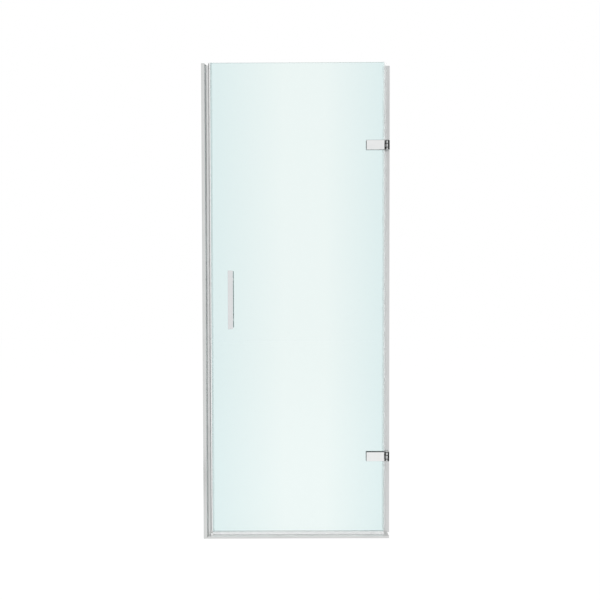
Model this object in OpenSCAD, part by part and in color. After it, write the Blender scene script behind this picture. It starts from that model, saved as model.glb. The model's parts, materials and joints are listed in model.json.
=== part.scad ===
// Frameless shower door: one glass panel on two barrel hinges, closing on a magnetic strike.
// +X points to the hinge side, +Y into the shower, +Z up. The origin is the middle of the base.
// All lengths are in millimetres.

/* [Overall] */
// Width from wall to wall
door_w = 709; // [640:1:760]
// Height of the glass's top edge
door_h = 1794; // [1600:1:1900]
// How far the wall profiles end below the glass's top edge
jamb_drop = 9; // [0:1:40]

/* [Glass] */
// Thickness of the glass
glass_t = 8; // [6:0.5:10]
// Height of the glass's bottom edge
glass_z0 = 14; // [13:0.5:18]
// Ground bevel along every edge of the glass
arris = 0.6; // [0.3:0.1:1]
// Radius of the glass's four dubbed corners
glass_corner_r = 3; // [2:0.5:8]

/* [Hinges] */
// Height of the lower hinge's middle
lower_hinge_z = 306; // [200:1:400]
// Height of the upper hinge's middle
upper_hinge_z = 1485; // [1300:1:1500]
// Height of a hinge with its end caps
hinge_h = 36; // [34:0.5:52]
// Radius of the barrel's knuckles
barrel_r = 8.95; // [8:0.05:10]
// Gap between the barrel and the plane of the wall
barrel_wall_gap = 2.05; // [0.05:0.05:4]
// Gap between the barrel and the glass's edge
barrel_edge_gap = 3.05; // [0.5:0.05:4]
// Radius of the hinge pin
pin_r = 4; // [3:0.1:4.5]
// Clearance between the pin and what it turns in
pin_play = 0.04; // [0.02:0.01:0.08]
// Wall of the nylon bush in the middle knuckle
bush_wall = 1.5; // [1:0.1:2]
// Height of the fixed knuckle at the top
top_knuckle_h = 9; // [6:0.1:10]
// Height of the fixed knuckle at the bottom
low_knuckle_h = 6; // [5:0.1:9]
// Height of a thrust washer between two knuckles
washer_h = 2.8; // [1.5:0.1:4]
// How far the washers and end caps stand back from the barrel's surface
washer_step = 0.35; // [0.1:0.05:0.8]
// Up and down play of the middle knuckle on each side
knuckle_play = 0.1; // [0.05:0.05:0.3]
// Height of the barrel's top end cap
top_cap_h = 3; // [0.8:0.1:3.5]
// Height of the barrel's bottom end cap
low_cap_h = 1; // [0.8:0.1:2]
// Depth of an end cap's spigot
spigot_h = 3; // [2:0.5:5]

/* [Glass clamps] */
// Width of a clamp plate
clamp_w = 68; // [60:1:80]
// Thickness of a clamp plate
clamp_t = 4; // [3.5:0.5:6]
// Bevel round a clamp plate's outer face
clamp_bevel = 1; // [0.5:0.1:1.5]
// How far the middle knuckle's link starts behind the plate's face
link_step = 0.8; // [0.4:0.1:1.2]
// How far the link then slopes back to the barrel
link_slope = 2.2; // [1:0.1:3]
// Thickness of a gasket
gasket_t = 1; // [0.5:0.1:2]
// How far a gasket stands back from the plate's edges
gasket_inset = 0.6; // [0.3:0.1:2]
// Distance between a hinge's two clamp screws
clamp_pitch = 34; // [28:1:40]
// Radius of a clamp screw's shank
clamp_screw_r = 3; // [2.5:0.5:3.5]
// Radius of a clamp screw's head
clamp_head_r = 5.8; // [5:0.1:6.5]
// Height of a clamp screw's head
clamp_head_h = 2.8; // [2:0.1:3.2]
// Radius of the threaded boss behind the front plate
boss_r = 5.5; // [5:0.1:6]
// Wall of the sleeve round each boss
sleeve_wall = 2; // [1.5:0.1:3]

/* [Wall leaves] */
// Thickness of the leaf's foot inside the wall profile
foot_t = 6; // [5:0.5:8]
// Distance between a leaf's two screws
leaf_pitch = 20; // [16:1:24]
// Radius of a leaf screw's shank
leaf_screw_r = 2.5; // [2:0.5:3]
// Radius of a leaf screw's head
leaf_head_r = 4.6; // [4:0.1:5.5]
// Height of a leaf screw's head
leaf_head_h = 2.2; // [1.6:0.1:2.6]

/* [Hinge side wall profile] */
// Width of the profile
profile_w = 21; // [20:0.5:34]
// Depth of the profile
profile_d = 22; // [20:0.5:30]
// Thickness of the web on the wall
profile_web = 3; // [2.8:0.1:4]
// Thickness of the two flanges
profile_t = 1.8; // [1.5:0.1:2.5]
// Gap between the rear clamp plates and the profile
profile_gap = 0.5; // [0.4:0.1:2]
// Thickness of the snap-in cover
cover_t = 1.6; // [1.2:0.1:2]
// Length of the cover's two snap legs
cover_leg = 7; // [6:0.5:9]
// Height of the bead that a snap leg catches on
bead = 0.8; // [0.5:0.1:1]

/* [Strike side] */
// Depth of the wall channel in front of the glass's middle
channel_front = 24; // [20:0.5:30]
// Depth of the wall channel behind the glass's middle
channel_back = 16; // [14:0.5:20]
// Width of the channel's legs
channel_leg = 13; // [13:0.5:18]
// Thickness of the channel
channel_t = 1.6; // [1.4:0.1:2]
// Travel of the strike profile into the channel
adjust = 4; // [3:0.5:4.5]
// Thickness of the tab of the channel's end cap
end_tab = 1; // [0.8:0.1:1.5]
// Gap between the strike profile and the channel's legs
slide_gap = 0.2; // [0.1:0.05:0.4]
// Thickness of the strike profile
strike_t = 2; // [1.6:0.1:2.4]
// Width of the sloping neck
neck_w = 5.5; // [4:0.5:9]
// Width of the nose that holds the magnet
nose_w = 5.7; // [5.4:0.1:8]
// Half height of the nose across the glass
nose_half = 8; // [7.5:0.5:10]
// Thickness of the magnet carrier's face
carrier_t = 1.2; // [0.8:0.1:1.5]
// Thickness of the strike magnet
magnet_t = 2.2; // [1.8:0.1:2.4]
// Width of both magnets
magnet_w = 8; // [6:0.5:9]
// Height of the lowest and of the highest adjusting screw above and below the ends
adjust_inset = 140; // [80:1:300]
// Radius of an adjusting screw's shank
adjust_r = 2; // [1.5:0.1:2]
// Radius of an adjusting screw's head
adjust_head_r = 3.6; // [3:0.1:4]
// Height of an adjusting screw's head
adjust_head_h = 2.2; // [1.6:0.1:3]

/* [Wall fixing] */
// Radius of a wall screw's hole
wall_hole_r = 3; // [2.5:0.1:3.5]
// Distance between the two middle wall screws
wall_pitch_inner = 520; // [400:10:700]
// Distance between the two outer wall screws
wall_pitch_outer = 1560; // [1300:10:1600]
// Thickness of the end caps of the wall profiles
end_plate = 1.5; // [1:0.1:3]

/* [Seals] */
// Thickness of the vinyl seals
seal_t = 1.1; // [0.8:0.1:1.4]
// Clearance between a seal and the glass
seal_fit = 0.05; // [0.02:0.01:0.15]
// Length of the vertical seals' legs on the glass
seal_leg = 6.5; // [5:0.5:10]
// Gap between the door's seal and the strike
strike_gap = 0.3; // [0.3:0.05:1]
// Depth of the door seal in front of the glass's edge
door_seal_d = 8; // [7.5:0.1:10]
// Thickness of the door's magnet
door_magnet_t = 2.5; // [2:0.1:2.8]
// Gap between a seal's end and a clamp plate
seal_end_gap = 0.8; // [0.4:0.1:3]
// Length of the sweep's legs on the glass
sweep_leg = 5; // [4:0.5:16]
// Gap between the sweep's fins and the threshold
sweep_gap = 0.5; // [0.3:0.1:1]
// How far the sweep's fins spread
fin_spread = 3.6; // [2:0.1:4]

/* [Threshold] */
// Height of the threshold's flat top
threshold_h = 9; // [6:0.5:10]
// How much lower the threshold's front face is
threshold_drop = 0.5; // [0.5:0.5:3]
// Width of the sloping strip behind the front face
slope_w = 9; // [4:0.5:14]
// Gap for sealant between the threshold's end and the wall on the hinge side
threshold_gap = 7.5; // [0:0.5:10]
// Height of the dam behind the glass
dam_h = 12; // [11:0.5:18]
// Thickness of the dam
dam_t = 2; // [1.5:0.1:3]
// Distance from the glass's middle to the dam
dam_y = 12; // [11:0.5:16]

/* [Handle] */
// Width and depth of the square bars
bar_w = 19; // [16:0.5:25]
// Radius of the bars' long corners
bar_corner_r = 1.5; // [1:0.1:4]
// Length of the bars
bar_l = 217; // [200:1:300]
// Bevel at the bars' ends
bar_bevel = 0.8; // [0.4:0.1:2]
// Distance between the two posts
post_pitch = 152.4; // [140:0.1:180]
// Gap between the glass and a bar
standoff = 33; // [28:0.5:50]
// Radius of a post
post_r = 8; // [7.5:0.1:9]
// Height of the handle's middle
handle_z = 905; // [800:1:1050]
// Distance from the closing edge of the glass to the handle's middle
handle_inset = 74; // [60:1:110]
// Thickness of the washers on the glass
pad_t = 1; // [0.5:0.1:2]
// Radius of the washers on the glass
pad_r = 9.5; // [9.2:0.1:12]
// Radius of the through studs
stud_r = 4; // [3:0.5:4.5]
// How far a stud reaches into each post
stud_reach = 16; // [12:1:20]
// Radius of the spigot that joins a post to its bar
joint_r = 5; // [4:0.1:6]
// Depth of that spigot
joint_h = 6; // [4:0.5:9]
// Radius of a grub screw
grub_r = 2; // [1.5:0.1:2.5]

/* [Hidden] */
$fn = 96;

// Small working clearances
fit = 0.1;
flush = 0.1;

// Planes across the width, from the wall on the hinge side
wall_x = door_w / 2;
axis_x = wall_x - barrel_wall_gap - barrel_r;
edge_gap = barrel_r + barrel_edge_gap;
glass_x1 = axis_x - edge_gap;
web_x = wall_x - profile_web;
mouth_x = wall_x - profile_w;
foot_x = web_x - foot_t;

// Planes across the width, from the wall on the strike side
leg_x = -wall_x + channel_leg;
strike_x0 = -wall_x + channel_t + end_tab + 0.3 + adjust;
neck_x0 = leg_x + 0.4;
nose_x0 = leg_x + neck_w;
nose_x1 = nose_x0 + nose_w;
carrier_x = nose_x1 - carrier_t;
recess_x = carrier_x - magnet_t - 1.2;
seal_x0 = nose_x1 + strike_gap;
glass_x0 = seal_x0 + door_seal_d;

// Planes through the depth
half = glass_t / 2;
clamp_y = half + gasket_t;
clamp_y1 = clamp_y + clamp_t;
profile_y0 = max(clamp_y1, barrel_r) + profile_gap;
profile_y1 = profile_y0 + profile_d;
strike_y0 = -channel_front + channel_t + slide_gap;
strike_y1 = channel_back - channel_t - slide_gap;
bar_y = half + standoff;

// Heights
jamb_h = door_h - jamb_drop;
jamb_z1 = jamb_h - end_plate;
wall_hole_z = (threshold_h + jamb_h) / 2;
seal_z0 = glass_z0 + sweep_leg + 0.4;
seal_z1 = door_h - 0.4;

// Heights in a barrel, from the hinge's middle: the leaf, then what turns between its knuckles
leaf_z0 = -hinge_h / 2 + low_cap_h;
leaf_z1 = hinge_h / 2 - top_cap_h;
turn_z0 = leaf_z0 + low_knuckle_h + washer_h;
turn_z1 = leaf_z1 - top_knuckle_h - washer_h;
turn_mid = (turn_z0 + turn_z1) / 2;
turn_h = turn_z1 - turn_z0 - 2 * knuckle_play;

// The middle knuckle's link ends this far in front of the glass's middle
link_back = 1;

// Round parts of the hinge
bore_r = pin_r + pin_play;
bush_r = bore_r + bush_wall;
knuckle_bore_r = bush_r + 0.05;
disc_r = barrel_r - washer_step;
sleeve_r0 = boss_r + fit;
sleeve_r1 = sleeve_r0 + sleeve_wall;
glass_hole_r = sleeve_r1 + fit;
clamp_x0 = glass_x1 - clamp_w;
clamp_mid = glass_x1 - clamp_w / 2;
boss_len = gasket_t + glass_t - 0.8;

// Handle
handle_x = glass_x0 + handle_inset;
post_z = [handle_z - post_pitch / 2, handle_z + post_pitch / 2];
stud_bore_r = stud_r + fit;
handle_sleeve_r = stud_bore_r + 1.8;

// Screws along the strike
adjust_x = strike_x0 + adjust_r + 0.7;
adjust_z = [adjust_inset, jamb_h / 2, jamb_h - adjust_inset];
slot_r = adjust_r + 0.35;

// Depth and height become Y and Z, and the extrusion runs along X
module along_x(x0, x1) {
    translate([x0, 0, 0]) rotate([90, 0, 90]) linear_extrude(height = x1 - x0) children();
}

// A plan section drawn in X and Y, extruded between two heights
module along_z(z0, z1) {
    translate([0, 0, z0]) linear_extrude(height = z1 - z0) children();
}

// Cylinders with their axis along X or Y, from one plane to another
module rod_x(r, x0, x1, y, z) {
    translate([x0, y, z]) rotate([0, 90, 0]) cylinder(r = r, h = x1 - x0);
}
module rod_y(r, y0, y1, x, z) {
    translate([x, y0, z]) rotate([-90, 0, 0]) cylinder(r = r, h = y1 - y0);
}

// A box between two corners
module block(a, b) {
    translate(a) cube(b - a);
}

// A fin of a seal's section, from its root to a thinner tip
module fin(a, b, t) {
    d = (b - a) / norm(b - a);
    n = [-d[1], d[0]] * t / 2;
    polygon([a + n, b + n * 0.6, b + d * 0.3, b - n * 0.6, a - n]);
}

// A square with rounded corners, centred
module soft_square(w, r) {
    square([w, w - 2 * r], center = true);
    square([w - 2 * r, w], center = true);
    for (sx = [-1, 1], sy = [-1, 1]) translate([sx, sy] * (w / 2 - r)) circle(r = r);
}

// Wall channel of the strike side, with slots for the adjusting screws
module strike_wall_channel() {
    color("silver") difference() {
        along_z(0, jamb_z1) {
            translate([-wall_x, -channel_front]) square([channel_t, channel_front + channel_back]);
            for (y = [-channel_front, channel_back - channel_t]) {
                translate([-wall_x, y]) square([channel_leg - channel_t / 2, channel_t]);
                translate([leg_x - channel_t / 2, y + channel_t / 2]) circle(d = channel_t);
            }
        }
        for (s = [-1, 1], p = [wall_pitch_inner, wall_pitch_outer])
            rod_x(wall_hole_r, -wall_x - 1, -wall_x + channel_t + 1,
                (channel_back - channel_front) / 2, wall_hole_z + s * p / 2);
        for (z = adjust_z) {
            for (x = [adjust_x - adjust, adjust_x])
                rod_y(slot_r, channel_back - channel_t - 1, channel_back + 1, x, z);
            block([adjust_x - adjust, channel_back - channel_t - 1, z - slot_r],
                [adjust_x, channel_back + 1, z + slot_r]);
        }
    }
}

// End cap of the channel, with a tab down the inside of its web
module strike_channel_cap() {
    color("silver") {
        block([-wall_x, -channel_front, jamb_z1], [leg_x, channel_back, jamb_h]);
        block([-wall_x + channel_t, strike_y0 + 2, jamb_z1 - 8],
            [-wall_x + channel_t + end_tab, strike_y1 - 2, jamb_z1 + 0.1]);
    }
}

// Where the strike profile's sloping walls run, at a depth y
function front_slope(y) = neck_x0
    + (y - strike_y0) / (-nose_half - strike_y0) * (nose_x0 - neck_x0);
function back_slope(y) = neck_x0
    + (y - strike_y1) / (nose_half - strike_y1) * (nose_x0 - neck_x0);
function slope_t(dy) = strike_t * norm([nose_x0 - neck_x0, dy]) / dy;

// Strike profile: open to the wall, a sloping neck and a nose with a recess for the magnet
module strike_profile() {
    z1 = jamb_z1 - 0.3 - end_plate;
    ft = slope_t(-nose_half - strike_y0);
    bt = slope_t(strike_y1 - nose_half);
    cavity_x = recess_x - strike_t;
    front_y = strike_y0 + (cavity_x + ft - neck_x0) / (nose_x0 - neck_x0)
        * (-nose_half - strike_y0);
    back_y = strike_y1 + (cavity_x + bt - neck_x0) / (nose_x0 - neck_x0)
        * (nose_half - strike_y1);
    color("silver") difference() {
        along_z(0.5, z1) difference() {
            polygon([[strike_x0, strike_y0], [neck_x0, strike_y0], [nose_x0, -nose_half],
                [carrier_x, -nose_half], [carrier_x, nose_half], [nose_x0, nose_half],
                [neck_x0, strike_y1], [strike_x0, strike_y1]]);
            polygon([[strike_x0 - 1, strike_y0 + strike_t],
                [front_slope(strike_y0 + strike_t) - ft, strike_y0 + strike_t],
                [cavity_x, front_y], [cavity_x, back_y],
                [back_slope(strike_y1 - strike_t) - bt, strike_y1 - strike_t],
                [strike_x0 - 1, strike_y1 - strike_t]]);
            translate([recess_x, -magnet_w / 2 - 1.9])
                square([carrier_x - recess_x + 1, magnet_w + 3.8]);
        }
        for (z = adjust_z)
            rod_y(adjust_r + 0.05, strike_y1 - strike_t - 1, strike_y1 + 1, adjust_x, z);
    }
}

// End cap of the strike profile, low enough to slide under the channel's cap
module strike_profile_cap() {
    z0 = jamb_z1 - 0.3 - end_plate;
    color("silver") {
        along_z(z0, z0 + end_plate)
            polygon([[strike_x0, strike_y0], [neck_x0, strike_y0], [nose_x0, -nose_half],
                [nose_x1, -nose_half], [nose_x1, nose_half], [nose_x0, nose_half],
                [neck_x0, strike_y1], [strike_x0, strike_y1]]);
        block([strike_x0 + 1, strike_y0 + strike_t + fit, z0 - 6],
            [leg_x - 2, strike_y0 + strike_t + 2, z0 + 0.1]);
        block([strike_x0 + 1, strike_y1 - strike_t - 2, z0 - 6],
            [leg_x - 2, strike_y1 - strike_t - fit, z0 + 0.1]);
    }
}

// Vinyl carrier that holds the strike magnet in the nose
module strike_magnet_carrier() {
    color("whitesmoke") along_z(0.5, jamb_z1 - 0.3 - end_plate) difference() {
        union() {
            translate([carrier_x, -nose_half]) square([carrier_t, 2 * nose_half]);
            translate([recess_x + fit, -magnet_w / 2 - 1.8])
                square([carrier_x - recess_x, magnet_w + 3.6]);
        }
        translate([carrier_x - magnet_t, -magnet_w / 2 - fit])
            square([magnet_t, magnet_w + 2 * fit]);
    }
}

module strike_magnet() {
    color("dimgray") block([carrier_x - magnet_t + fit, -magnet_w / 2, 2],
        [carrier_x - fit, magnet_w / 2, jamb_z1 - 4]);
}

// Screws that lock the strike profile from behind, through the channel's slots
module adjusting_screws() {
    color("silver") for (z = adjust_z) {
        rod_y(adjust_r, strike_y1 - strike_t - 1, channel_back + 0.3, adjust_x, z);
        difference() {
            rod_y(adjust_head_r, channel_back, channel_back + adjust_head_h, adjust_x, z);
            translate([adjust_x, channel_back + adjust_head_h - 1.1, z]) rotate([-90, 0, 0])
                cylinder(r = 1.4, h = 2, $fn = 6);
        }
    }
}

module adjusting_screw_caps() {
    r = adjust_head_r + fit;
    h = adjust_head_h + fit;
    color("silver") for (z = adjust_z) translate([adjust_x, channel_back, z]) rotate([-90, 0, 0])
        rotate_extrude() polygon([[r, 0], [r + 0.9, 0], [r + 0.9, h + 0.2], [r + 0.2, h + 0.9],
            [0, h + 0.9], [0, h], [r, h]]);
}

// Open wall profile of the hinge side, notched where the hinge leaves pass
module hinge_wall_profile() {
    mid_y = (profile_y0 + profile_y1) / 2;
    color("silver") difference() {
        along_z(threshold_h, jamb_z1) {
            translate([web_x, profile_y0]) square([profile_web, profile_d]);
            for (y = [profile_y0, profile_y1 - profile_t])
                translate([mouth_x, y]) square([profile_w, profile_t]);
            for (s = [0, 1]) translate([mouth_x + cover_t + cover_leg - 2.4,
                s ? profile_y1 - profile_t - bead : profile_y0 + profile_t]) square([1, bead]);
        }
        for (z = [lower_hinge_z, upper_hinge_z]) {
            block([foot_x - 0.2, profile_y0 - 1, z + leaf_z0 - 0.2],
                [web_x, profile_y0 + profile_t + 1, z + leaf_z1 + 0.2]);
            for (s = [-1, 1]) {
                rod_x(leaf_screw_r + 0.2, web_x - 1, wall_x + 1, mid_y, z + s * leaf_pitch / 2);
                translate([wall_x - leaf_head_h - flush, mid_y, z + s * leaf_pitch / 2])
                    rotate([0, 90, 0]) cylinder(r1 = leaf_screw_r + 0.2,
                        r2 = leaf_head_r + 0.2, h = leaf_head_h + flush);
            }
        }
        for (s = [-1, 1], p = [wall_pitch_inner, wall_pitch_outer])
            rod_x(wall_hole_r, web_x - 1, wall_x + 1, mid_y, wall_hole_z + s * p / 2);
    }
}

// Cover that snaps behind the profile's two beads
module hinge_profile_cover() {
    y0 = profile_y0 + profile_t;
    y1 = profile_y1 - profile_t;
    color("silver") along_z(threshold_h + 0.3, jamb_z1 - 0.3) {
        translate([mouth_x, y0 + fit]) square([cover_t, y1 - y0 - 2 * fit]);
        for (s = [0, 1]) translate([0, s ? y0 + y1 : 0]) mirror([0, s]) {
            translate([mouth_x, y0 + bead + 0.15]) square([cover_t + cover_leg, 1.2]);
            polygon([[mouth_x + cover_t + cover_leg - 1.2, y0 + bead + 0.2],
                [mouth_x + cover_t + cover_leg - 1.2, y0 + 0.3],
                [mouth_x + cover_t + cover_leg, y0 + bead + 0.2]]);
        }
    }
}

module hinge_profile_cap() {
    color("silver") {
        block([mouth_x, profile_y0, jamb_z1], [wall_x, profile_y1, jamb_h]);
        block([foot_x, profile_y0 + profile_t + fit, jamb_z1 - 8],
            [web_x - fit, profile_y1 - profile_t - fit, jamb_z1 + 0.1]);
    }
}

// Section of the threshold with its sloping front, up to a depth y1
module threshold_section(y1) {
    polygon([[-channel_front, 0], [y1, 0], [y1, threshold_h],
        [-channel_front + slope_w, threshold_h],
        [-channel_front, threshold_h - threshold_drop]]);
}

// Low threshold with a dam behind the glass and two sealant grooves below
module threshold() {
    color("silver") {
        along_x(nose_x1 + strike_gap, wall_x - threshold_gap) difference() {
            threshold_section(profile_y1);
            for (y = [-channel_front + 6, profile_y1 - 12]) translate([y, -1]) square([6, 2]);
        }
        along_x(nose_x1 + strike_gap, mouth_x - 0.4) {
            translate([dam_y, threshold_h - 0.5])
                square([dam_t, dam_h - threshold_h + 0.5 - dam_t / 2]);
            translate([dam_y + dam_t / 2, dam_h - dam_t / 2]) circle(d = dam_t);
        }
    }
}

// End block that carries the threshold on to the wall channel, in front of the strike profile
module threshold_end() {
    x0 = leg_x + 0.3;
    x1 = nose_x1 + strike_gap;
    g = 0.5;
    color("silver") intersection() {
        along_x(x0, x1) threshold_section(-nose_half - g);
        along_z(-1, threshold_h + 1)
            polygon([[x0 - 1, -channel_front - 1], [x1 + 1, -channel_front - 1],
                [x1 + 1, -nose_half + 1], [nose_x0 + g, -nose_half + 1],
                [nose_x0 + g, -nose_half], [neck_x0 + g, strike_y0], [neck_x0 + g, strike_y0 - g],
                [x0 - 1, strike_y0 - g]]);
    }
}

// Fixed half of a hinge: the two outer knuckles and a foot inside the wall profile
module wall_leaf(z) {
    z0 = z + leaf_z0;
    z1 = z + leaf_z1;
    color("silver") difference() {
        union() {
            for (k = [[z0, low_knuckle_h], [z1 - top_knuckle_h, top_knuckle_h]]) {
                translate([axis_x, 0, k[0]]) cylinder(r = barrel_r, h = k[1]);
                block([foot_x, 0, k[0]], [web_x, profile_y0 + 1, k[0] + k[1]]);
            }
            block([foot_x, profile_y0, z0], [web_x, profile_y1 - profile_t - 0.3, z1]);
        }
        translate([axis_x, 0, z0 - 1]) cylinder(r = bore_r, h = hinge_h);
        for (s = [-1, 1]) rod_x(leaf_screw_r + 0.05, foot_x - 1, web_x + 1,
            (profile_y0 + profile_y1) / 2, z + s * leaf_pitch / 2);
    }
}

// Countersunk screws from the wall side into the leaf's foot
module leaf_screws(z) {
    color("silver") for (s = [-1, 1])
        translate([wall_x - flush, (profile_y0 + profile_y1) / 2, z + s * leaf_pitch / 2])
            rotate([0, -90, 0]) difference() {
                union() {
                    cylinder(r = leaf_screw_r, h = profile_web + foot_t - flush - 0.5);
                    cylinder(r1 = leaf_head_r, r2 = leaf_screw_r, h = leaf_head_h);
                }
                translate([0, 0, -1]) cylinder(r = 1.5, h = 2.2, $fn = 6);
            }
}

module hinge_pin(z) {
    color("lightgray") translate([axis_x, 0, z + leaf_z0 + spigot_h + 0.1])
        cylinder(r = pin_r, h = leaf_z1 - leaf_z0 - 2 * spigot_h - 0.2);
}

// Thrust washers above and below the middle knuckle
module thrust_washers(z) {
    color("black") for (k = [turn_z0 - washer_h, turn_z1])
        translate([axis_x, 0, z + k]) difference() {
            cylinder(r = disc_r, h = washer_h);
            translate([0, 0, -1]) cylinder(r = bore_r, h = washer_h + 2);
        }
}

// End caps with a spigot in the bore of the outer knuckles
module barrel_caps(z) {
    color("black") for (s = [0, 1]) translate([axis_x, 0, z]) mirror([0, 0, s])
        translate([0, 0, hinge_h / 2]) rotate_extrude() {
            h = s ? low_cap_h : top_cap_h;
            polygon([[0, -h - spigot_h], [bore_r - 0.05, -h - spigot_h], [bore_r - 0.05, -h],
                [disc_r, -h], [disc_r, -0.5], [disc_r - 0.5, 0], [0, 0]]);
        }
}

// Where the clamp screws stand
function clamp_screw_x() = [clamp_mid - clamp_pitch / 2, clamp_mid + clamp_pitch / 2];

// Outer face bevelled all round, in front of the glass
module clamp_plate(z) {
    intersection() {
        along_z(z - hinge_h / 2, z + hinge_h / 2)
            polygon([[clamp_x0, -clamp_y], [glass_x1, -clamp_y],
                [glass_x1, -clamp_y1 + clamp_bevel], [glass_x1 - clamp_bevel, -clamp_y1],
                [clamp_x0 + clamp_bevel, -clamp_y1], [clamp_x0, -clamp_y1 + clamp_bevel]]);
        along_x(clamp_x0 - 1, glass_x1 + 1)
            polygon([[-clamp_y, z - hinge_h / 2], [-clamp_y, z + hinge_h / 2],
                [-clamp_y1 + clamp_bevel, z + hinge_h / 2],
                [-clamp_y1, z + hinge_h / 2 - clamp_bevel],
                [-clamp_y1, z - hinge_h / 2 + clamp_bevel],
                [-clamp_y1 + clamp_bevel, z - hinge_h / 2]]);
    }
}

// Front plate with the moving knuckle, its link and two threaded bosses
module front_clamp(z) {
    z0 = z + turn_mid - turn_h / 2;
    link_y0 = -clamp_y1 + link_step;
    color("silver") difference() {
        union() {
            clamp_plate(z);
            translate([axis_x, 0, z0]) cylinder(r = barrel_r, h = turn_h);
            along_z(z0, z0 + turn_h)
                polygon([[glass_x1 - 3, -clamp_y], [glass_x1 - 3, link_y0], [glass_x1, link_y0],
                    [glass_x1 + link_slope, link_y0 + link_slope], [axis_x, link_y0 + link_slope],
                    [axis_x, -link_back], [glass_x1 + clamp_y - link_back, -link_back],
                    [glass_x1, -clamp_y]]);
            for (x = clamp_screw_x()) rod_y(boss_r, -clamp_y - 0.5, -clamp_y + boss_len, x, z);
        }
        translate([axis_x, 0, z0 - 1]) cylinder(r = knuckle_bore_r, h = turn_h + 2);
        for (x = clamp_screw_x())
            rod_y(clamp_screw_r + 0.05, -clamp_y1 + 1.5, -clamp_y + boss_len + 1, x, z);
    }
}

module hinge_bush(z) {
    color("ivory") translate([axis_x, 0, z + turn_mid]) difference() {
        cylinder(r = bush_r, h = turn_h, center = true);
        cylinder(r = bore_r, h = turn_h + 1, center = true);
    }
}

// Rear plate with countersunk screw holes
module rear_clamp(z) {
    color("silver") difference() {
        mirror([0, 1, 0]) clamp_plate(z);
        for (x = clamp_screw_x()) {
            rod_y(clamp_screw_r + 0.3, clamp_y - 1, clamp_y1 + 1, x, z);
            translate([x, clamp_y1 - clamp_head_h - flush, z]) rotate([-90, 0, 0])
                cylinder(r1 = clamp_screw_r + 0.3, r2 = clamp_head_r + 0.3,
                    h = clamp_head_h + flush);
            translate([x, clamp_y1, z]) rotate([-90, 0, 0])
                cylinder(r = clamp_head_r + 0.3, h = 1);
        }
    }
}

module gaskets(z) {
    color("whitesmoke") for (s = [0, 1]) mirror([0, s, 0]) difference() {
        block([clamp_x0 + gasket_inset, -clamp_y, z - hinge_h / 2 + gasket_inset],
            [glass_x1 - gasket_inset, -half, z + hinge_h / 2 - gasket_inset]);
        for (x = clamp_screw_x()) rod_y(glass_hole_r, -clamp_y - 1, -half + 1, x, z);
    }
}

module clamp_screws(z) {
    color("silver") for (x = clamp_screw_x())
        translate([x, clamp_y1 - flush, z]) rotate([90, 0, 0]) difference() {
            union() {
                cylinder(r = clamp_screw_r, h = 2 * clamp_y + clamp_t - 0.5);
                cylinder(r1 = clamp_head_r, r2 = clamp_screw_r, h = clamp_head_h);
            }
            translate([0, 0, -1]) cylinder(r = 2, h = 2.8, $fn = 6);
        }
}

module glass_sleeves(z) {
    color("whitesmoke") for (x = clamp_screw_x()) difference() {
        rod_y(sleeve_r1, -half, half, x, z);
        rod_y(sleeve_r0, -half - 1, half + 1, x, z);
    }
}

// The panel, with its edges bevelled, its corners dubbed and holes for the fittings
module glass_panel() {
    r = glass_corner_r;
    color("lightcyan", 0.4) difference() {
        intersection() {
            along_z(glass_z0, door_h) polygon([[glass_x0, -half + arris], [glass_x0, half - arris],
                [glass_x0 + arris, half], [glass_x1 - arris, half], [glass_x1, half - arris],
                [glass_x1, -half + arris], [glass_x1 - arris, -half], [glass_x0 + arris, -half]]);
            along_x(glass_x0 - 1, glass_x1 + 1)
                polygon([[-half + arris, glass_z0], [half - arris, glass_z0],
                    [half, glass_z0 + arris], [half, door_h - arris], [half - arris, door_h],
                    [-half + arris, door_h], [-half, door_h - arris], [-half, glass_z0 + arris]]);
            translate([0, half + 1, 0]) rotate([90, 0, 0]) linear_extrude(height = glass_t + 2) {
                translate([glass_x0, glass_z0 + r])
                    square([glass_x1 - glass_x0, door_h - glass_z0 - 2 * r]);
                translate([glass_x0 + r, glass_z0])
                    square([glass_x1 - glass_x0 - 2 * r, door_h - glass_z0]);
                for (x = [glass_x0 + r, glass_x1 - r], z = [glass_z0 + r, door_h - r])
                    translate([x, z]) circle(r = r);
            }
        }
        for (z = [lower_hinge_z, upper_hinge_z], x = clamp_screw_x())
            rod_y(glass_hole_r, -half - 1, half + 1, x, z);
        for (z = post_z) rod_y(handle_sleeve_r + fit, -half - 1, half + 1, handle_x, z);
    }
}

// One bar in front of the glass, with sockets for the spigots of its posts
module handle_bar() {
    y0 = -bar_y - bar_w;
    y1 = -bar_y;
    z0 = handle_z - bar_l / 2;
    z1 = handle_z + bar_l / 2;
    b = bar_bevel;
    difference() {
        intersection() {
            translate([handle_x, -bar_y - bar_w / 2, z0])
                linear_extrude(height = bar_l) soft_square(bar_w, bar_corner_r);
            along_x(handle_x - bar_w, handle_x + bar_w)
                polygon([[y0, z0 + b], [y0 + b, z0], [y1 - b, z0], [y1, z0 + b],
                    [y1, z1 - b], [y1 - b, z1], [y0 + b, z1], [y0, z1 - b]]);
            translate([handle_x, y1 + 1, 0]) rotate([90, 0, 0])
                linear_extrude(height = bar_w + 2)
                    polygon([[-bar_w / 2, z0 + b], [-bar_w / 2 + b, z0], [bar_w / 2 - b, z0],
                        [bar_w / 2, z0 + b], [bar_w / 2, z1 - b], [bar_w / 2 - b, z1],
                        [-bar_w / 2 + b, z1], [-bar_w / 2, z1 - b]]);
        }
        for (z = post_z) rod_y(joint_r + 0.05, y1 - joint_h - 0.5, y1 + 1, handle_x, z);
    }
}

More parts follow.
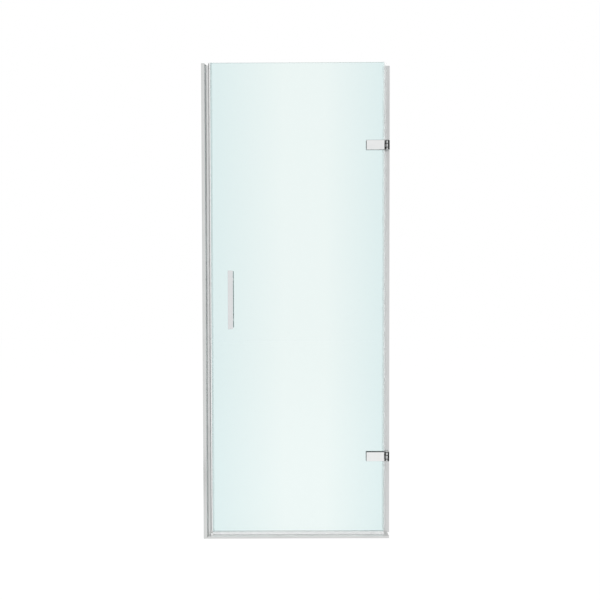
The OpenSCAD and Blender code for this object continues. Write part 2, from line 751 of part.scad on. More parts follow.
// Posts of one bar: a spigot in the bar, a blind bore for the stud and a grub screw hole
module handle_posts() {
    for (z = post_z) difference() {
        union() {
            rod_y(post_r, -bar_y, -half - pad_t, handle_x, z);
            rod_y(joint_r, -bar_y - joint_h, -bar_y + 0.5, handle_x, z);
        }
        rod_y(stud_bore_r, -half - stud_reach - 1, -half, handle_x, z);
        translate([handle_x, -half - stud_reach / 2, z - post_r - 1])
            cylinder(r = grub_r + 0.05, h = post_r + 1);
    }
}

module outer_handle_bar() color("silver") handle_bar();
module outer_handle_posts() color("silver") handle_posts();
module inner_handle_bar() color("silver") mirror([0, 1, 0]) handle_bar();
module inner_handle_posts() color("silver") mirror([0, 1, 0]) handle_posts();

module handle_washers() {
    color("whitesmoke") for (z = post_z, s = [0, 1]) mirror([0, s, 0]) difference() {
        rod_y(pad_r, half, half + pad_t, handle_x, z);
        rod_y(stud_bore_r, half - 1, half + pad_t + 1, handle_x, z);
    }
}

module handle_studs() {
    color("silver") for (z = post_z)
        rod_y(stud_r, -half - stud_reach, half + stud_reach, handle_x, z);
}

module handle_sleeves() {
    color("whitesmoke") for (z = post_z) difference() {
        rod_y(handle_sleeve_r, -half, half, handle_x, z);
        rod_y(stud_bore_r, -half - 1, half + 1, handle_x, z);
    }
}

module handle_grub_screws() {
    color("dimgray") for (z = post_z, s = [-1, 1])
        translate([handle_x, s * (half + stud_reach / 2), z - post_r + 0.4]) difference() {
            cylinder(r = grub_r, h = post_r - 0.4 - stud_r - 0.2);
            translate([0, 0, -1]) cylinder(r = 1.1, h = 2.4, $fn = 6);
        }
}

// A pair of vinyl legs that grip the glass, from a section's X of 0 on, on both faces
module seal_legs(l) {
    for (s = [-1, 1]) translate([0, s * (half + seal_fit + seal_t / 2)]) {
        translate([-0.5, -seal_t / 2]) square([l + 0.5 - seal_t / 2, seal_t]);
        translate([l - seal_t / 2, 0]) circle(d = seal_t);
    }
}

// Magnetic seal of the closing edge: legs on the glass, a bellows and a pocket for the magnet
module closing_edge_seal() {
    outer = half + seal_fit + seal_t;
    color("whitesmoke") along_z(seal_z0, seal_z1) {
        translate([glass_x0 - seal_fit, 0]) seal_legs(seal_leg + seal_fit);
        translate([seal_x0, 0]) difference() {
            translate([0, -outer]) square([door_seal_d - seal_fit, 2 * outer]);
            translate([1, -magnet_w / 2 - fit])
                square([door_magnet_t + 2 * fit, magnet_w + 2 * fit]);
            translate([door_magnet_t + 2, -outer + seal_t])
                square([door_seal_d - door_magnet_t - 2 - seal_t, 2 * (outer - seal_t)]);
        }
    }
}

module door_magnet() {
    color("dimgray") block([seal_x0 + 1 + fit, -magnet_w / 2, seal_z0 + 2],
        [seal_x0 + 1 + fit + door_magnet_t, magnet_w / 2, seal_z1 - 2]);
}

// Seal between the glass's edge and the wall profile, in three lengths between the hinges
module hinge_edge_seals() {
    outer = half + seal_fit + seal_t;
    g = hinge_h / 2 + seal_end_gap;
    color("whitesmoke") for (r = [[seal_z0, lower_hinge_z - g],
        [lower_hinge_z + g, upper_hinge_z - g], [upper_hinge_z + g, seal_z1]])
        along_z(r[0], r[1]) {
            translate([glass_x1 + seal_fit, 0]) mirror([1, 0]) seal_legs(seal_leg + seal_fit);
            translate([glass_x1 + seal_fit, -outer]) square([seal_t, 2 * outer]);
            fin([glass_x1 + seal_fit + seal_t / 2, outer - seal_t],
                [axis_x - 1.2, profile_y0 - 1], seal_t);
        }
}

// Sweep on the bottom edge, with two fins over the threshold
module bottom_sweep() {
    outer = half + seal_fit + seal_t;
    top = glass_z0 - seal_fit;
    low = top - seal_t;
    root = outer - 1.6;
    tip = threshold_h + sweep_gap;
    color("whitesmoke") along_x(glass_x0 + 0.2, glass_x1 - 0.2) {
        translate([0, top]) rotate(90) seal_legs(sweep_leg + seal_fit);
        polygon([[-outer, top], [-outer, low], [-root - 0.5, low], [-root - fin_spread, tip],
            [-root - fin_spread + 0.6, tip], [-root + 0.5, low], [root - 0.5, low],
            [root + fin_spread - 0.6, tip], [root + fin_spread, tip], [root + 0.5, low],
            [outer, low], [outer, top]]);
    }
}

module upper_wall_leaf() wall_leaf(upper_hinge_z);
module upper_leaf_screws() leaf_screws(upper_hinge_z);
module upper_hinge_pin() hinge_pin(upper_hinge_z);
module upper_thrust_washers() thrust_washers(upper_hinge_z);
module upper_barrel_caps() barrel_caps(upper_hinge_z);
module upper_front_clamp() front_clamp(upper_hinge_z);
module upper_hinge_bush() hinge_bush(upper_hinge_z);
module upper_rear_clamp() rear_clamp(upper_hinge_z);
module upper_gaskets() gaskets(upper_hinge_z);
module upper_clamp_screws() clamp_screws(upper_hinge_z);
module upper_glass_sleeves() glass_sleeves(upper_hinge_z);
module lower_wall_leaf() wall_leaf(lower_hinge_z);
module lower_leaf_screws() leaf_screws(lower_hinge_z);
module lower_hinge_pin() hinge_pin(lower_hinge_z);
module lower_thrust_washers() thrust_washers(lower_hinge_z);
module lower_barrel_caps() barrel_caps(lower_hinge_z);
module lower_front_clamp() front_clamp(lower_hinge_z);
module lower_hinge_bush() hinge_bush(lower_hinge_z);
module lower_rear_clamp() rear_clamp(lower_hinge_z);
module lower_gaskets() gaskets(lower_hinge_z);
module lower_clamp_screws() clamp_screws(lower_hinge_z);
module lower_glass_sleeves() glass_sleeves(lower_hinge_z);

strike_wall_channel();
strike_channel_cap();
hinge_wall_profile();
hinge_profile_cover();
hinge_profile_cap();
threshold();
threshold_end();
upper_wall_leaf();
upper_leaf_screws();
upper_hinge_pin();
upper_thrust_washers();
upper_barrel_caps();
lower_wall_leaf();
lower_leaf_screws();
lower_hinge_pin();
lower_thrust_washers();
lower_barrel_caps();
strike_profile();
strike_profile_cap();
strike_magnet_carrier();
strike_magnet();
adjusting_screws();
adjusting_screw_caps();
glass_panel();
upper_front_clamp();
upper_hinge_bush();
upper_rear_clamp();
upper_gaskets();
upper_clamp_screws();
upper_glass_sleeves();
lower_front_clamp();
lower_hinge_bush();
lower_rear_clamp();
lower_gaskets();
lower_clamp_screws();
lower_glass_sleeves();
outer_handle_bar();
outer_handle_posts();
inner_handle_bar();
inner_handle_posts();
handle_washers();
handle_studs();
handle_sleeves();
handle_grub_screws();
closing_edge_seal();
door_magnet();
hinge_edge_seals();
bottom_sweep();
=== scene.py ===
"""Finishes, rounded fittings and a studio for a frameless shower door.

It has the form of an add-on and is run as a script. The door's frame of solids is loaded first,
then one operator builds the studio and each of the others dresses one group of pieces.
Lengths are in metres: +X points to the hinge side, +Y into the shower, +Z up.
"""

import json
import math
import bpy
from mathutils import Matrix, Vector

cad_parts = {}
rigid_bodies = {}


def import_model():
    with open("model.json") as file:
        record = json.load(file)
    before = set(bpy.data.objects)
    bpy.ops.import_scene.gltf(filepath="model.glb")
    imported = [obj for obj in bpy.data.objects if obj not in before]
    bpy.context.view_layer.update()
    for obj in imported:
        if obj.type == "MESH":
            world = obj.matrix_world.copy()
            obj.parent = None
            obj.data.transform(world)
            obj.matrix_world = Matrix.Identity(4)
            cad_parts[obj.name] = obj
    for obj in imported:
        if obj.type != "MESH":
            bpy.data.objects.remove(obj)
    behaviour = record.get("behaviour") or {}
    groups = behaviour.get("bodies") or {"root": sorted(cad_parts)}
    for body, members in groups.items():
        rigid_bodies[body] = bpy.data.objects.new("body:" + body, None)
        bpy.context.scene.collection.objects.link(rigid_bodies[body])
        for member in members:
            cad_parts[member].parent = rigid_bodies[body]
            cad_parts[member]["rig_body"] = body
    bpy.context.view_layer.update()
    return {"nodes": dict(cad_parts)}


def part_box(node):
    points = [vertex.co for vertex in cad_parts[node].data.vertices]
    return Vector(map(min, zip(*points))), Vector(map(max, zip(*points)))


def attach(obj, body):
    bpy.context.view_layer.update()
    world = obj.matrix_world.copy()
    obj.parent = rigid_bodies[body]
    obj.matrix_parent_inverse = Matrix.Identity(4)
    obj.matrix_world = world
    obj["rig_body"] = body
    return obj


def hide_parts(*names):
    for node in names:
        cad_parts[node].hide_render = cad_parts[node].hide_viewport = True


bl_info = {
    "name": "Frameless Shower Door",
    "version": (1, 0, 0),
    "blender": (4, 5, 0),
    "location": "3D View > Sidebar > Shower Door",
    "description": "Dresses a frameless shower door and sets it in a studio",
    "category": "Object",
}

import bmesh
import bpy
from bpy.props import (
    FloatProperty,
    FloatVectorProperty,
    IntProperty,
    PointerProperty,
)
from mathutils import Vector

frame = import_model()


# Settings


def colour_setting(name, description, default):
    """A colour that the sidebar shows as a swatch."""
    return FloatVectorProperty(
        name=name, description=description, subtype="COLOR", size=3,
        min=0, max=1, default=default,
    )


def edge_setting(name, description, default):
    """The rounding of an edge, in metres."""
    return FloatProperty(
        name=name, description=description, unit="LENGTH", precision=5,
        min=0, max=0.001, default=default,
    )


class DoorFinishes(bpy.types.PropertyGroup):
    """Colours of the door's materials, among them darker and lighter copies that paint shade and
    light, and how dense its glass is.
    """

    chrome: colour_setting("Chrome", "Plating of the hinges", (0.80, 0.81, 0.81))
    # Painted shade: a darker copy of the hinge chrome on the knuckles, standing for the dark
    # surroundings that they mirror.
    barrel: colour_setting("Barrel chrome", "Plating of the knuckles", (0.55, 0.56, 0.56))
    # Painted shade: a dark copy of the chrome for the link in the recess between plate and
    # knuckle.
    link: colour_setting(
        "Link chrome", "The recess between plate and knuckle", (0.16, 0.16, 0.165)
    )
    # Painted shade: a dark copy of the chrome on the plates' upward faces, standing for the dark
    # surroundings above that they mirror.
    plate_top_shade: colour_setting("Plate top", "Upper edges of the clamp plates", (0.08, 0.08, 0.085))
    handle: colour_setting("Handle chrome", "Plating of the handle", (0.74, 0.75, 0.76))
    # Painted shade: a darker copy of the handle chrome on the inner bar's face towards the glass.
    inward_shade: colour_setting(
        "Inward chrome", "The inner bar's face towards the glass", (0.32, 0.33, 0.33)
    )
    channel: colour_setting("Channel", "Anodised wall channel", (0.66, 0.67, 0.665))
    strike: colour_setting("Strike profile", "Satin anodised strike profile", (0.78, 0.79, 0.785))
    profile: colour_setting("Hinge side", "Anodised wall profile", (0.65, 0.655, 0.655))
    cover: colour_setting("Cover", "Anodised cover of the wall profile", (0.80, 0.80, 0.79))
    threshold: colour_setting("Threshold", "Anodised threshold", (0.68, 0.685, 0.68))
    # Painted light: a lighter copy of the threshold's finish on its upward faces.
    threshold_top_light: colour_setting("Threshold top", "Top of the threshold", (0.84, 0.845, 0.84))
    steel: colour_setting("Screws", "Stainless steel of the screws", (0.58, 0.58, 0.57))
    nylon_black: colour_setting(
        "Black nylon", "Washers and caps of the barrels", (0.012, 0.012, 0.013)
    )
    nylon_white: colour_setting("White nylon", "Bushes, sleeves and washers", (0.78, 0.79, 0.78))
    vinyl_grey: colour_setting("Grey vinyl", "Carrier of the strike magnet", (0.52, 0.53, 0.53))
    vinyl_clear: colour_setting("Clear vinyl", "Seals on the glass", (0.98, 0.99, 0.99))
    vinyl_upright: colour_setting("Upright vinyl", "Seal on the closing edge", (0.91, 0.92, 0.92))
    rubber: colour_setting("Magnet rubber", "Magnet strips", (0.20, 0.20, 0.20))
    # The glass's colour across the door: its green tint, lightened in the middle by a painted
    # reflection.
    glass_middle_sheen: colour_setting(
        "Glass, middle", "Tint halfway across the door", (0.865, 0.925, 0.912)
    )
    glass_sides: colour_setting(
        "Glass, sides", "Tint at the door's two sides", (0.745, 0.855, 0.86)
    )
    glass_depth: colour_setting(
        "Glass, depth", "What the glass's own thickness lets pass", (0.2, 0.85, 0.78)
    )
    glass_density: FloatProperty(
        name="Glass density", description="How fast the glass takes up light",
        min=0, max=40, default=5,
    )


class FittingSizes(bpy.types.PropertyGroup):
    """Edge rounding and screw turns."""

    plate_edge: edge_setting("Plate edges", "Rounding of the clamp plates' edges", 0.00030)
    handle_edge: edge_setting("Handle edges", "Rounding of the handle's edges", 0.00040)
    profile_edge: edge_setting("Profile edges", "Rounding of the extruded profiles", 0.00025)
    nylon_edge: edge_setting("Nylon edges", "Rounding of washers and caps", 0.00015)
    edge_steps: IntProperty(
        name="Edge steps", description="Faces across a rounded edge", min=1, max=6, default=3
    )
    screw_seed: IntProperty(
        name="Screw turns", description="Seed of how far each screw is turned", min=0, default=7
    )


class StudioSettings(bpy.types.PropertyGroup):
    """Camera, lamps and surroundings."""

    camera_place: FloatVectorProperty(
        name="Camera place", description="Where the camera stands", subtype="TRANSLATION",
        unit="LENGTH", size=3, default=(-0.150, -2.200, 0.953),
    )
    camera_turn: FloatVectorProperty(
        name="Camera turn", description="How the camera is turned", subtype="EULER",
        unit="ROTATION", size=3,
        default=(math.radians(88.697), math.radians(0.216), math.radians(0.085)),
    )
    focal_length: FloatProperty(
        name="Focal length", description="For a sensor of 36 mm", unit="CAMERA",
        min=10, max=200, default=34.82,
    )
    shift_x: FloatProperty(
        name="Shift", description="Sideways shift of the lens", min=-0.5, max=0.5, default=0.0734
    )
    ambient: FloatProperty(
        name="Ambient light", description="Light from all round", min=0, max=2, default=0.75
    )
    key_power: FloatProperty(
        name="Key lamp", description="Power of the lamp above the door", unit="POWER",
        min=0, max=500, default=26,
    )
    fill_power: FloatProperty(
        name="Fill lamp", description="Power of the lamp on the left", unit="POWER",
        min=0, max=500, default=14,
    )
    flag_shade: FloatProperty(
        name="Flag shade", description="Brightness of the dark cards that chrome mirrors",
        min=0, max=1, default=0.02,
    )
    flag_softness: FloatProperty(
        name="Flag softness", description="Width over which a card's edge fades",
        unit="LENGTH", min=0.01, max=0.5, default=0.12,
    )
    floor_shade: FloatProperty(
        name="Floor shading", description="Share of the floor that takes shadows",
        subtype="FACTOR", min=0, max=1, default=0.15,
    )


# Node trees


def add(tree, kind, inputs=None, **settings):
    """A node with its settings and its inputs, each a value or the socket that feeds it."""
    node = tree.nodes.new(kind)
    for key, value in settings.items():
        setattr(node, key, value)
    for key, value in (inputs or {}).items():
        if isinstance(value, bpy.types.NodeSocket):
            tree.links.new(value, node.inputs[key])
        else:
            node.inputs[key].default_value = value
    return node


def reckoned(tree, operation, first, second):
    """The outcome of one sum."""
    return add(tree, "ShaderNodeMath", {0: first, 1: second}, operation=operation).outputs[0]


def opaque(colour):
    """A colour with full alpha, as a colour socket wants it."""
    return (*colour, 1.0)


def dimmed(colour, share):
    """The same colour at another brightness."""
    return tuple(min(c * share, 1.0) for c in colour)


def new_finish(name):
    """A material with an empty node tree."""
    material = bpy.data.materials.new(name)
    material.use_nodes = True
    material.node_tree.nodes.clear()
    return material


def coordinates(tree, source="Object"):
    """The X, Y and Z of a place on the object, or on its UV map."""
    place = add(tree, "ShaderNodeTexCoord").outputs[source]
    return add(tree, "ShaderNodeSeparateXYZ", {"Vector": place}).outputs


def drawn_out(along, share):
    """The stretch of a noise that is drawn out along an axis."""
    return tuple(share if axis == along else 1.0 for axis in "XYZ")


def noise(tree, scale, stretch=(1.0, 1.0, 1.0), detail=2.0, offset=(0.0, 0.0, 0.0)):
    """A noise in object coordinates, drawn out along an axis where its stretch is small."""
    place = add(tree, "ShaderNodeTexCoord").outputs["Object"]
    placed = add(
        tree, "ShaderNodeMapping", {"Vector": place, "Scale": stretch, "Location": offset}
    )
    return add(
        tree, "ShaderNodeTexNoise",
        {"Vector": placed.outputs["Vector"], "Scale": scale, "Detail": detail},
    ).outputs["Fac"]


def between(tree, value, low, high, start=0.3, end=0.7):
    """A value brought from one range into another."""
    return add(
        tree, "ShaderNodeMapRange",
        {"Value": value, "From Min": start, "From Max": end, "To Min": low, "To Max": high},
    ).outputs["Result"]


def ramp(tree, value, *stops):
    """A colour ramp with stops of a place and a colour."""
    node = add(tree, "ShaderNodeValToRGB", {"Fac": value})
    elements = node.color_ramp.elements
    while len(elements) < len(stops):
        elements.new(0.5)
    for element, (place, colour) in zip(elements, stops):
        element.position = place
        element.color = opaque(colour)
    return node.outputs["Color"]


def mottled(tree, value, colour, darkest, start=0.3, end=0.7):
    """A colour that a noise darkens in places, down to a share of itself."""
    return ramp(tree, value, (start, dimmed(colour, darkest)), (end, colour))


def bumped(tree, value, strength, height):
    """Normals for a relief of a height in metres."""
    return add(
        tree, "ShaderNodeBump", {"Height": value, "Strength": strength, "Distance": height}
    ).outputs["Normal"]


def crowned(tree, middle, curve, normal):
    """Normals of a face that is slightly crowned across X about a middle."""
    off = reckoned(tree, "SUBTRACT", coordinates(tree)["X"], middle)
    square = reckoned(tree, "MULTIPLY", off, off)
    fall = reckoned(tree, "MULTIPLY", square, -curve)
    return add(
        tree, "ShaderNodeBump",
        {"Height": fall, "Strength": 1.0, "Distance": 1.0, "Normal": normal},
    ).outputs["Normal"]


def mixed(tree, share, first, second):
    """Two shaders in one, the second at its share."""
    return add(tree, "ShaderNodeMixShader", {0: share, 1: first, 2: second}).outputs["Shader"]


def seen_share(tree):
    """1 for rays that show something straight on, mirrored or through glass, otherwise 0."""
    rays = add(tree, "ShaderNodeLightPath").outputs
    seen = reckoned(tree, "MAXIMUM", rays["Is Camera Ray"], rays["Is Transmission Ray"])
    return reckoned(tree, "MAXIMUM", seen, rays["Is Glossy Ray"])


def covered(material, shader, volume=None):
    """The material with its shader on the output."""
    tree = material.node_tree
    output = add(tree, "ShaderNodeOutputMaterial", {"Surface": shader})
    if volume is not None:
        tree.links.new(volume, output.inputs["Volume"])
    return material


def finished(material, inputs, volume=None):
    """The material with a Principled shader that has these inputs."""
    shader = add(material.node_tree, "ShaderNodeBsdfPrincipled", inputs)
    return covered(material, shader.outputs["BSDF"], volume)


# Finishes

# Scales of the noises, as grains to the metre
SMUDGES = 38
WIPING = 420
DIE_LINES = 1600
CLOUDS = 9
TURNING = 5200
NYLON_GRAIN = 1800
NYLON_PATCHES = 120
GREY_VINYL_LINES = 1500
CLEAR_VINYL_LINES = 1300
VINYL_HAZE = 60
RUBBER_GRAIN = 2600
ROLLER_WAVE = 2.2

# How fast the handle bar's face falls off to both sides, in 1/m
BAR_CURVE = 6.0


def chrome_plating(name, colour, roughness, ripple=0.05, crown=None):
    """Bright plating: finger smudges, a faint ripple and fine wiping marks."""
    material = new_finish(name)
    tree = material.node_tree
    smudges = noise(tree, SMUDGES, detail=5)
    wiping = noise(tree, WIPING, (1.0, 1.0, 0.12), detail=3, offset=(0.2, 0.1, 0.0))
    normal = bumped(tree, wiping, strength=ripple, height=0.00005)
    if crown is not None:
        normal = crowned(tree, *crown, normal)
    return finished(material, {
        "Base Color": mottled(tree, smudges, colour, darkest=0.975, start=0.35, end=0.65),
        "Metallic": 1.0,
        "Roughness": between(tree, smudges, *roughness),
        "Normal": normal,
    })


def anodised_profile(name, colour, along, roughness=(0.24, 0.32)):
    """Bright anodised extrusion: die lines along its length and a soft satin gloss."""
    material = new_finish(name)
    tree = material.node_tree
    lines = noise(tree, DIE_LINES, drawn_out(along, 0.004), detail=3)
    clouds = noise(tree, CLOUDS, detail=4)
    return finished(material, {
        "Base Color": mottled(tree, clouds, colour, darkest=0.96),
        "Metallic": 1.0,
        "Roughness": between(tree, lines, *roughness),
        "Normal": bumped(tree, lines, strength=0.08, height=0.00002),
    })


def turned_steel(name, colour):
    """Stainless screws with the fine marks of turning."""
    material = new_finish(name)
    tree = material.node_tree
    marks = noise(tree, TURNING, detail=2)
    return finished(material, {
        "Base Color": mottled(tree, marks, colour, darkest=0.97),
        "Metallic": 1.0,
        "Roughness": between(tree, marks, 0.2, 0.28),
        "Normal": bumped(tree, marks, strength=0.04, height=0.00003),
    })


def moulded_nylon(name, colour, roughness, glow=0.0):
    """Moulded nylon with the fine grain of its tool."""
    material = new_finish(name)
    tree = material.node_tree
    grain = noise(tree, NYLON_GRAIN, detail=2)
    patches = noise(tree, NYLON_PATCHES, detail=3)
    return finished(material, {
        "Base Color": mottled(tree, patches, colour, darkest=0.94),
        "Roughness": between(tree, grain, *roughness),
        "Normal": bumped(tree, grain, strength=0.2, height=0.00005),
        "Subsurface Weight": glow,
        "Subsurface Radius": (0.002, 0.002, 0.002),
        "Subsurface Scale": 1.0,
    })


def grey_vinyl(name, colour):
    """Opaque vinyl extrusion with faint die lines."""
    material = new_finish(name)
    tree = material.node_tree
    lines = noise(tree, GREY_VINYL_LINES, drawn_out("Z", 0.006), detail=2)
    return finished(material, {
        "Base Color": mottled(tree, lines, colour, darkest=0.95),
        "Roughness": between(tree, lines, 0.34, 0.46),
        "Normal": bumped(tree, lines, strength=0.15, height=0.00005),
    })


def clear_vinyl(name, colour, along, clearness=1.0, bending=1.18):
    """See-through vinyl extrusion, more or less milky and drawn along its length."""
    material = new_finish(name)
    tree = material.node_tree
    lines = noise(tree, CLEAR_VINYL_LINES, drawn_out(along, 0.01), detail=2)
    haze = noise(tree, VINYL_HAZE, detail=3)
    return finished(material, {
        "Base Color": mottled(tree, haze, colour, darkest=0.98),
        "Roughness": 0.04,
        "IOR": bending,
        "Transmission Weight": clearness,
        "Normal": bumped(tree, lines, strength=0.1, height=0.00003),
    })


def magnet_rubber(name, colour):
    """Ferrite-filled rubber strip."""
    material = new_finish(name)
    tree = material.node_tree
    grain = noise(tree, RUBBER_GRAIN, detail=3)
    return finished(material, {
        "Base Color": mottled(tree, grain, colour, darkest=0.8),
        "Roughness": between(tree, grain, 0.6, 0.8),
        "Normal": bumped(tree, grain, strength=0.25, height=0.00006),
    })


def toughened_glass(name, finishes):
    """Clear toughened glass, greener through its depth. Its colour across the door is its green
    tint with a painted reflection: lighter in the middle, greener at the two sides.
    """
    material = new_finish(name)
    tree = material.node_tree
    low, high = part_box("glass_panel")
    across = between(tree, coordinates(tree)["X"], 0.0, 1.0, low.x, high.x)
    side, middle = finishes.glass_sides, finishes.glass_middle_sheen
    # Painted reflection: the base colour is lighter across the middle of the door than at its
    # sides.
    tint_and_sheen = ramp(tree, across, (0.0, side), (0.42, middle), (0.66, middle), (1.0, side))
    roller_wave = noise(tree, ROLLER_WAVE, (1.0, 1.0, 3.0), detail=1)
    depth = add(
        tree, "ShaderNodeVolumeAbsorption",
        {"Color": opaque(finishes.glass_depth), "Density": finishes.glass_density},
    )
    return finished(material, {
        "Base Color": tint_and_sheen,
        "Roughness": 0.0,
        "IOR": 1.5,
        "Transmission Weight": 1.0,
        "Normal": bumped(tree, roller_wave, strength=0.2, height=0.0001),
    }, depth.outputs["Volume"])


# Pieces

# How far past a limit a face must lie to be told apart from it
NEAR = 0.0001


def paint(material, *nodes):
    """Gives CAD nodes their material."""
    for node in nodes:
        mesh = frame["nodes"][node].data
        mesh.materials.clear()
        mesh.materials.append(material)


def without_shadow(*nodes):
    """Lets the lamps' light through clear CAD nodes."""
    for node in nodes:
        frame["nodes"][node].visible_shadow = False


def refinished(piece, material, chosen):
    """Gives one more material to the faces that are chosen."""
    slot = len(piece.data.materials)
    piece.data.materials.append(material)
    for face in piece.data.polygons:
        if chosen(face):
            face.material_index = slot


def middle_of(node):
    """The middle of a CAD node's box."""
    low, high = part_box(node)
    return (low + high) / 2


def body_of_node(node):
    """The body that a CAD node belongs to."""
    return frame["nodes"][node]["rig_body"]


def stand_in(piece, slot, *nodes):
    """A piece that rides on its nodes' body and is shown instead of them."""
    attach(piece, body_of_node(nodes[0]))
    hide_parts(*nodes)
    return piece


def in_scene(name, data):
    """An object for a mesh, a lamp or a camera, linked to the scene."""
    holder = bpy.data.objects.new(name, data)
    bpy.context.scene.collection.objects.link(holder)
    return holder


def work_in(piece):
    """Turns a piece's modifiers into plain mesh."""
    raw = piece.data
    bpy.context.view_layer.update()
    result = bpy.data.meshes.new_from_object(
        piece.evaluated_get(bpy.context.evaluated_depsgraph_get())
    )
    piece.modifiers.clear()
    piece.data = result
    bpy.data.meshes.remove(raw)


def rounded(node, material, slot, edge, steps):
    """A copy of a CAD node, with its sharp edges rounded as on the real piece."""
    mesh = frame["nodes"][node].data.copy()
    mesh.name = node + "_piece"
    work = bmesh.new()
    work.from_mesh(mesh)
    bmesh.ops.remove_doubles(work, verts=work.verts, dist=1e-6)
    bmesh.ops.dissolve_limit(
        work, angle_limit=math.radians(0.5), verts=work.verts, edges=work.edges,
        use_dissolve_boundaries=False,
    )
    work.to_mesh(mesh)
    work.free()
    mesh.materials.clear()
    mesh.materials.append(material)
    mesh.shade_smooth()
    piece = in_scene(node + "_piece", mesh)
    bevel = piece.modifiers.new("Rounded edges", "BEVEL")
    bevel.width = edge
    bevel.segments = steps
    bevel.limit_method = "ANGLE"
    bevel.angle_limit = math.radians(32)
    bevel.harden_normals = True
    flat = piece.modifiers.new("Flat faces", "WEIGHTED_NORMAL")
    flat.weight = 100
    work_in(piece)
    return stand_in(piece, slot, node)


def round_all(nodes, material, slot, edge):
    """Rounds several nodes that share a finish."""
    sizes = bpy.context.scene.fitting_sizes
    return [rounded(node, material, slot, edge, sizes.edge_steps) for node in nodes]


class DOOR_OT_glass(bpy.types.Operator):
    """Gives the panel its clear toughened glass"""

    bl_idname = "door.glass"
    bl_label = "Glass Panel"

    def execute(self, context):
        paint(toughened_glass("Toughened glass", context.scene.door_finishes), "glass_panel")
        without_shadow("glass_panel")
        return {"FINISHED"}


class DOOR_OT_hinges(bpy.types.Operator):
    """Dresses both hinges: clamp plates, knuckles, washers, caps, pins and gaskets"""

    bl_idname = "door.hinges"
    bl_label = "Hinges"

    def execute(self, context):
        finishes, sizes = context.scene.door_finishes, context.scene.fitting_sizes
        plating = chrome_plating("Hinge chrome", finishes.chrome, (0.04, 0.075), ripple=0.03)
        # Painted shade: the knuckles take a darker copy of the hinge chrome.
        barrel = chrome_plating("Barrel chrome", finishes.barrel, (0.05, 0.09), ripple=0.01)
        # Painted shade for the link faces in the recess between plate and knuckle.
        recess = chrome_plating("Link chrome", finishes.link, (0.08, 0.14), ripple=0.02)
        # Painted shade for the clamp plates' upward faces.
        shaded_top = chrome_plating("Plate top", finishes.plate_top_shade, (0.08, 0.14), ripple=0.03)
        black = moulded_nylon("Black nylon", finishes.nylon_black, (0.34, 0.48))
        white = moulded_nylon("White nylon", finishes.nylon_white, (0.4, 0.54), glow=0.1)
        pale = clear_vinyl("Gasket vinyl", finishes.vinyl_clear, "X")
        steel = turned_steel("Pin steel", finishes.steel)
        plate_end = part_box("glass_panel")[1].x + NEAR

        def past_plate(face):
            return face.center.x > plate_end

        for hinge in ("upper", "lower"):
            axis = middle_of(f"{hinge}_barrel_caps").x
            reach = 2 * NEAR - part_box(f"{hinge}_wall_leaf")[0].y

            def in_recess(face):
                off = math.hypot(face.center.x - axis, face.center.y)
                return past_plate(face) and off > reach and abs(face.normal.z) < 0.5

            clamps = [f"{hinge}_{part}" for part in ("front_clamp", "rear_clamp")]
            plates = round_all(clamps, plating, "hinge_chrome", sizes.plate_edge)
            for plate in plates:
                # The plates' upward faces take the painted shade.
                refinished(plate, shaded_top, lambda face: face.normal.z > 0.5)
            front = plates[0]
            refinished(front, barrel, past_plate)
            # The link's faces in the recess take the painted shade.
            refinished(front, recess, in_recess)
            round_all([f"{hinge}_wall_leaf"], barrel, "hinge_chrome", sizes.plate_edge)
            nylon = [f"{hinge}_{part}" for part in ("barrel_caps", "thrust_washers")]
            caps = round_all(nylon, black, "black_nylon", sizes.nylon_edge)[0]
            refinished(caps, plating, lambda face: abs(face.normal.z) > 0.9)
            paint(white, f"{hinge}_hinge_bush", f"{hinge}_glass_sleeves")
            paint(pale, f"{hinge}_gaskets")
            paint(steel, f"{hinge}_hinge_pin")
        return {"FINISHED"}


class DOOR_OT_handle(bpy.types.Operator):
    """Dresses the back-to-back handle: bars, posts, washers, studs and sleeves"""

    bl_idname = "door.handle"
    bl_label = "Handle"

    def execute(self, context):
        finishes, sizes = context.scene.door_finishes, context.scene.fitting_sizes
        plating = chrome_plating(
            "Handle chrome", finishes.handle, (0.14, 0.20), ripple=0.03,
            crown=(middle_of("outer_handle_bar").x, BAR_CURVE),
        )
        # Painted shade for the inner bar's face towards the glass.
        inward_shade = chrome_plating("Inward chrome", finishes.inward_shade, (0.07, 0.13), ripple=0.03)
        metal = [
            f"{side}_handle_{part}" for side in ("outer", "inner") for part in ("bar", "posts")
        ]
        for piece in round_all(metal, plating, "handle_chrome", sizes.handle_edge):
            if piece.name.startswith("inner_handle_bar"):
                # The inner bar's face towards the glass takes the painted shade.
                refinished(piece, inward_shade, lambda face: face.normal.y < -0.6)
        washers = moulded_nylon("Washer nylon", finishes.nylon_white, (0.36, 0.5), glow=0.1)
        paint(washers, "handle_washers", "handle_sleeves")
        paint(turned_steel("Stud steel", finishes.steel), "handle_studs")
        return {"FINISHED"}


